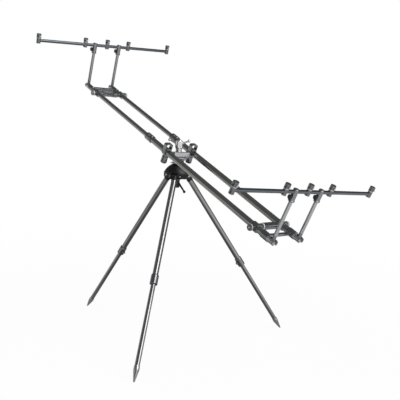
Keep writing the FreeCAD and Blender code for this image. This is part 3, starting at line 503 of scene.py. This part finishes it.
# Knob under a rail clamp, along the rail's normal from its axis
CLAMP_KNOB = [(-41.8, 9.8), (-40.3, 11.0), (-18.6, 11.0), (-16.8, 9.4), (-16.8, 4.0),
              (-11.4, 4.0)]
CLAMP_KNOB_EASE = 0.6
CLAMP_KNOB_KNURL = {"radius": 10.8, "start": -39.8, "stop": -35.0, "tooth": 0.45}
# Lock knob of a bar, from the upright's axis
BAR_KNOB = [(6.3, 2.5), (9.7, 2.5), (9.7, 6.6), (10.9, 7.8), (15.0, 7.8), (16.2, 6.8)]
BAR_KNOB_EASE = 0.4
BAR_KNOB_KNURL = {"radius": 7.6, "start": 11.4, "stop": 14.5, "tooth": 0.4}


def make_knob(node, place, profile, ease, teeth, skin):
    """A turned knob with one knurled band, in the place of its CAD node."""
    knob = bmesh.new()
    turn_profile(knob, closed(profile, ease), place)
    knurl(knob, place, **teeth)
    make_piece(knob, node + "_knurled", [skin], node, [node])


def make_knobs(side):
    make_knob("clamp_knob_" + side, joint_place("clamp_knob_turn_" + side),
              CLAMP_KNOB, CLAMP_KNOB_EASE, CLAMP_KNOB_KNURL, FITTING_SKIN)
    for end in ENDS:
        place = joint_place("%s_bar_knob_turn_%s" % (end, side), flip=-1)
        make_knob("%s_bar_knob_%s" % (end, side), place,
                  BAR_KNOB, BAR_KNOB_EASE, BAR_KNOB_KNURL, BLACK_NYLON_AND_PAINTED_SHADE)


# Wing knob, above the tilt shaft
WING_KNOB = [(6.3, 4.0), (9.3, 4.0), (9.3, 11.5), (12.5, 11.5), (12.5, 10.6), (15.0, 10.6),
             (15.0, 11.5), (18.0, 11.5), (18.0, 10.6), (20.0, 10.6), (22.0, 12.8), (22.8, 14.0),
             (47.0, 14.0), (50.0, 11.5)]
WING_KNOB_EASE = 0.8
WING_SEGMENTS, ARM_SEGMENTS, WING_SHARP_DEG = 56, 28, 40
# Its two arms: how they are turned, where they start and end, and the radii of arm and ball
ARM_TURNS_DEG = (42, 222)
ARM_ROOT, ARM_TIP = Vector((7, 0, 37)), Vector((35, 0, 50))
ARM_RADIUS, BALL_RADIUS = 4.0, 5.25
BALL_STEPS_DEG = range(-60, 90, 15)


def make_wing_knob():
    knob = bmesh.new()
    place = placing(pivot("wing_knob_turn"), Y_WAY, Z_WAY)
    turn_profile(knob, closed(WING_KNOB, WING_KNOB_EASE), place, segments=WING_SEGMENTS)
    way = ARM_TIP - ARM_ROOT
    ball = [(way.length + BALL_RADIUS * math.sin(math.radians(step)),
             BALL_RADIUS * math.cos(math.radians(step))) for step in BALL_STEPS_DEG]
    outline = [(0, 0), (0, ARM_RADIUS)] + ball + [(way.length + BALL_RADIUS, 0)]
    for turn in ARM_TURNS_DEG:
        root = place @ Matrix.Rotation(math.radians(turn), 4, "Z") @ Matrix.Translation(ARM_ROOT)
        arm = root @ way.to_track_quat("Z", "Y").to_matrix().to_4x4()
        turn_profile(knob, outline, arm, segments=ARM_SEGMENTS)
    make_piece(knob, "wing_knob_polished", [POLISHED], "wing_knob", ["wing_knob"],
               WING_SHARP_DEG)


# Black ring round the top of each leg's upper tube, from the hinge pin
LEG_RING = [(13.4, 9.8), (13.4, 10.9), (20.0, 10.9), (20.0, 9.8)]


def make_leg_ring(leg):
    ring = bmesh.new()
    down_leg = JOINTS["foot_slide_" + leg]["axis"]
    place = placing(pivot("leg_fold_" + leg), JOINTS["leg_fold_" + leg]["axis"], down_leg)
    turn_profile(ring, LEG_RING, place, ring=True)
    make_piece(ring, "leg_%s_tube_ring" % leg, [BLACK_NYLON_AND_PAINTED_SHADE], "leg_" + leg)


# Trim of the rail ends, outward from the fold axis: a bright ring at each fork's root, and
# knurling round its two cheeks
FORK_RING = {"lower": [(-14.3, 10.9), (-14.3, 12.2), (-12.3, 12.2), (-12.3, 10.9)],
             "upper": [(-14.3, 8.4), (-14.3, 10.6), (-12.3, 10.6), (-12.3, 8.4)]}
FORK_KNURL = {"radius": 10.4, "start": 4.5, "stop": 9.7, "tooth": 0.5, "half_slot": 6.9}
# Cross-bar: how far inside the fold axis it lies, and its trim along it, towards the far side
CROSSBAR_INSET = 80.0
# White ring where the grip starts: painted highlight for the glint on that edge
CROSSBAR_HIGHLIGHT_RING = [(-30.0, 8.3), (-30.0, 10.6), (-26.3, 10.6), (-26.3, 8.3)]
CROSSBAR_KNURL = {"radius": 10.4, "start": -32.5, "stop": 14.5, "tooth": 0.5}
# Cap at the outer end of each cross clamp's barrel, and how far outwards from its rail's axis
CLAMP_CAP = [(-3.4, 10.2), (-0.2, 10.2), (0.9, 9.0), (0.9, 4.8), (0.1, 4.8)]
CLAMP_CAP_EASE = 0.4
CLAMP_CAP_ROOT = {"lower": 26.5, "upper": 24.0}
# White ring behind each cap: painted highlight for the glint on its edge
CLAMP_CAP_HIGHLIGHT_RING = [(-5.6, 9.7), (-5.6, 10.8), (-3.6, 10.8), (-3.6, 9.7)]
# White button, and a black floor painted as the shade in the hollow of the cap
CAP_SHADE_FLOOR = [(0.1, 4.8), (0.1, 0)]
CAP_BUTTON = [(0.1, 2.6), (0.8, 2.6), (0.8, 0)]


def make_fork_trim(end):
    rings, teeth = bmesh.new(), bmesh.new()
    for side in SIDES:
        turn_profile(rings, FORK_RING[end], rail_end(end, side), ring=True)
        knurl(teeth, rail_end(end, side), **FORK_KNURL)
    make_piece(rings, end + "_fork_rings", [POLISHED], RAIL_BODY[end])
    make_piece(teeth, end + "_fork_knurling", [FORK_SKIN], RAIL_BODY[end])


def make_crossbar_trim(end):
    trim = bmesh.new()
    for side, way in zip(SIDES, (-Y_WAY, Y_WAY)):
        rail = rail_end(end, side) @ Vector((0, 0, -CROSSBAR_INSET))
        cap = shifted(placing(rail, OUTWARD[end], way), 0, 0, CLAMP_CAP_ROOT[end])
        # White ring behind the cap: painted highlight
        turn_profile(trim, CLAMP_CAP_HIGHLIGHT_RING, cap, 1, ring=True)
        turn_profile(trim, closed(CLAMP_CAP, CLAMP_CAP_EASE)[:-1], cap)
        # Black floor of the cap's hollow: painted shade
        turn_profile(trim, CAP_SHADE_FLOOR, cap, 2)
        turn_profile(trim, CAP_BUTTON, cap, 1, HEXAGON)
    middle = rail_end(end, "near") @ Vector((0, RAIL_SPACING / 2, -CROSSBAR_INSET))
    bar = placing(middle, OUTWARD[end], Y_WAY)
    if end == "lower":
        # White ring at the grip's start: painted highlight
        turn_profile(trim, CROSSBAR_HIGHLIGHT_RING, bar, 1, ring=True)
    else:
        knurl(trim, bar, **CROSSBAR_KNURL)
    make_piece(trim, end + "_crossbar_trim", [FITTING_SKIN, WHITE_NYLON_AND_PAINTED_HIGHLIGHT, BLACK_NYLON_AND_PAINTED_SHADE],
               RAIL_BODY[end])


for end in ENDS:
    make_bosses(end)
    make_fork_trim(end)
    make_crossbar_trim(end)
for leg in LEGS:
    make_leg_ring(leg)
    make_pinch_screw("leg_screw_" + leg, "leg_screw_turn_" + leg)
for side in SIDES:
    make_pinch_screw("rail_screw_" + side, "rail_screw_turn_" + side)
for side in SIDES:
    make_knobs(side)
make_wing_knob()


# Stage

# The photographer's place and view, and the frame in pixels
EYE = (1.7837, -1.4516, 0.7879)
YAW, PITCH, ROLL = math.radians(-50.01), math.radians(-7.05), math.radians(-3.48)
FOCAL_PIXELS = 645.5
FRAME_PIXELS = 400
SENSOR_MM = 36.0
NEAREST, FARTHEST = 0.05, 50
# Light surroundings as the metal shows them: direction, how far round and how far up they reach
SWEEP = {"way": (math.sin(YAW), math.cos(YAW), 0), "round": (0.93, 0.985), "up": (0.34, 0.2),
         "level": 1.0}
LEFT_CARD = {"way": (-0.7, -0.71, 0), "round": (0.75, 0.87), "up": (0.36, 0.24), "level": 0.85}
FRONT_CARD = {"way": (1, 0, 0), "round": (0.3, 0.5), "up": (0.31, 0.18), "level": 1.0}
ROOM_LEVEL = 0.2
WHITE = (1, 1, 1, 1)
PAPER = (0.9, 0.9, 0.9, 1)
FLOOR_REACH = 8.0
FLOOR_CORNERS = ((-1, -1), (1, -1), (1, 1), (-1, 1))
TRIPOD_MIDDLE = pivot("lever_swing").xy
# The shade under the tripod, in metres from its middle, and how light the paper looks there
SHADE = {"From Min": 0.3, "From Max": 1.2, "To Min": 0.15, "To Max": 1.0}
# The lit paper that the metal shows: a strip along the rails, in metres from their middle, and all
# that lies in front of the pod
STRIP = {"From Min": 1.0, "From Max": 1.6, "To Min": 1.0, "To Max": ROOM_LEVEL}
IN_FRONT = {"From Min": 0.9, "From Max": 1.5, "To Min": ROOM_LEVEL, "To Max": 1.0}
# How far from the tripod the shadows on the paper fade into plain white
SHADOW_SHARE = 0.045
FADE = {"From Min": 0.7, "From Max": 2.2, "To Min": SHADOW_SHARE, "To Max": 0.0}
# Lamps: place and target in metres, size in metres, power in watts, and whether the metal shows it
SOFT_BOX = {"place": (5.5, 1.42, 6.3), "target": (0.0, -0.1, 0.6), "size": (5.0, 7.5),
            "power": 430, "mirrored": True}
FRONT_FILL = {"place": (0.4, -2.4, 1.8), "target": (0, 0, 0.6), "size": (2.0, 2.0),
              "power": 22, "mirrored": False}


def either(tree, first, *others):
    """The largest of some sockets or numbers."""
    for other in others:
        larger = add_node(tree, "ShaderNodeMath", {"operation": "MAXIMUM"}, [first, other])
        first = larger.outputs[0]
    return first


def both(tree, first, *others):
    """The product of some sockets or numbers."""
    for other in others:
        product = add_node(tree, "ShaderNodeMath", {"operation": "MULTIPLY"}, [first, other])
        first = product.outputs[0]
    return first


def light_surface(tree, way, height, surface):
    """Light from one lit surface of the studio in a ray's direction."""
    along = add_node(tree, "ShaderNodeVectorMath", {"operation": "DOT_PRODUCT"},
                     [way, surface["way"]]).outputs["Value"]
    shares = []
    for socket, (nothing, full) in ((along, surface["round"]), (height, surface["up"])):
        share = add_node(tree, "ShaderNodeMapRange", {"From Min": nothing, "From Max": full},
                         Value=socket)
        shares.append(share.outputs[0])
    return both(tree, *shares, surface["level"])


def make_world():
    """White to the eye; a dim room to the metal, with a white sweep behind and two cards."""
    world = bpy.data.worlds.new("studio")
    bpy.context.scene.world = world
    world.use_nodes = True
    tree = world.node_tree
    tree.nodes.clear()
    way = add_node(tree, "ShaderNodeTexCoord").outputs["Generated"]
    height = add_node(tree, "ShaderNodeSeparateXYZ", Vector=way).outputs["Z"]
    rays = add_node(tree, "ShaderNodeLightPath").outputs
    surfaces = [light_surface(tree, way, height, surface)
                for surface in (SWEEP, LEFT_CARD, FRONT_CARD)]
    level = either(tree, ROOM_LEVEL, *surfaces,
                   rays["Is Camera Ray"], rays["Is Transmission Ray"])
    studio = add_node(tree, "ShaderNodeBackground", {"Color": WHITE}, Strength=level)
    add_node(tree, "ShaderNodeOutputWorld", Surface=studio.outputs[0])


def make_floor():
    """Paper that is white to the eye and in the metal, but for a trace of the pod's shadow."""
    mesh = bpy.data.meshes.new("floor")
    mesh.from_pydata([(x * FLOOR_REACH, y * FLOOR_REACH, 0) for x, y in FLOOR_CORNERS],
                     [], [(0, 1, 2, 3)])
    floor = bpy.data.objects.new("floor", mesh)
    bpy.context.collection.objects.link(floor)
    material, tree = new_material("white_paper")
    rays = add_node(tree, "ShaderNodeLightPath").outputs
    place = add_node(tree, "ShaderNodeTexCoord").outputs["Object"]
    away = add_node(tree, "ShaderNodeVectorMath", {"operation": "DISTANCE"},
                    [place, (*TRIPOD_MIDDLE, 0)]).outputs["Value"]
    ahead, aside, _ = add_node(tree, "ShaderNodeSeparateXYZ", Vector=place).outputs
    beside = add_node(tree, "ShaderNodeMath", {"operation": "ABSOLUTE"}, [aside]).outputs[0]
    shade, fade, strip, in_front = (
        add_node(tree, "ShaderNodeMapRange", reach, Value=value).outputs[0]
        for reach, value in ((SHADE, away), (FADE, away), (STRIP, beside), (IN_FRONT, ahead)))
    lit = both(tree, shade, either(tree, strip, in_front))
    paper = add_node(tree, "ShaderNodeBsdfDiffuse", {"Color": PAPER})
    glow = add_node(tree, "ShaderNodeEmission", {"Color": WHITE},
                    Strength=either(tree, lit, rays["Is Camera Ray"]))
    seen = either(tree, rays["Is Camera Ray"], rays["Is Glossy Ray"], rays["Is Transmission Ray"])
    unshaded = add_node(tree, "ShaderNodeMath", {"operation": "SUBTRACT"}, [1.0, fade])
    mix = add_node(tree, "ShaderNodeMixShader",
                   inputs=[both(tree, seen, unshaded.outputs[0]), paper.outputs[0],
                           glow.outputs[0]])
    add_node(tree, "ShaderNodeOutputMaterial", Surface=mix.outputs[0])
    mesh.materials.append(material)


def make_lamp(name, place, target, size, power, mirrored):
    lamp = bpy.data.lights.new(name, "AREA")
    lamp.shape = "RECTANGLE"
    lamp.size, lamp.size_y = size
    lamp.energy = power
    lamp_object = bpy.data.objects.new(name, lamp)
    lamp_object.location = place
    way = Vector(target) - Vector(place)
    lamp_object.rotation_euler = way.to_track_quat("-Z", "Y").to_euler()
    lamp_object.visible_glossy = mirrored
    bpy.context.collection.objects.link(lamp_object)


def make_camera():
    """The photographer's place, found from the object's own bars, rails and feet."""
    ahead = Vector((math.sin(YAW) * math.cos(PITCH), math.cos(YAW) * math.cos(PITCH),
                    math.sin(PITCH)))
    level = Vector((math.cos(YAW), -math.sin(YAW), 0))
    down = ahead.cross(level)
    right = math.cos(ROLL) * level + math.sin(ROLL) * down
    below = -math.sin(ROLL) * level + math.cos(ROLL) * down
    turn = Matrix((right, -below, -ahead)).transposed().to_4x4()
    camera = bpy.data.cameras.new("camera")
    camera.sensor_width = SENSOR_MM
    camera.lens = FOCAL_PIXELS * SENSOR_MM / FRAME_PIXELS
    camera.clip_start, camera.clip_end = NEAREST, FARTHEST
    camera_object = bpy.data.objects.new("camera", camera)
    camera_object.matrix_world = Matrix.Translation(EYE) @ turn
    bpy.context.collection.objects.link(camera_object)
    bpy.context.scene.camera = camera_object


bpy.context.scene.view_settings.view_transform = "Standard"
make_world()
make_floor()
make_lamp("soft_box", **SOFT_BOX)
make_lamp("front_fill", **FRONT_FILL)
make_camera()
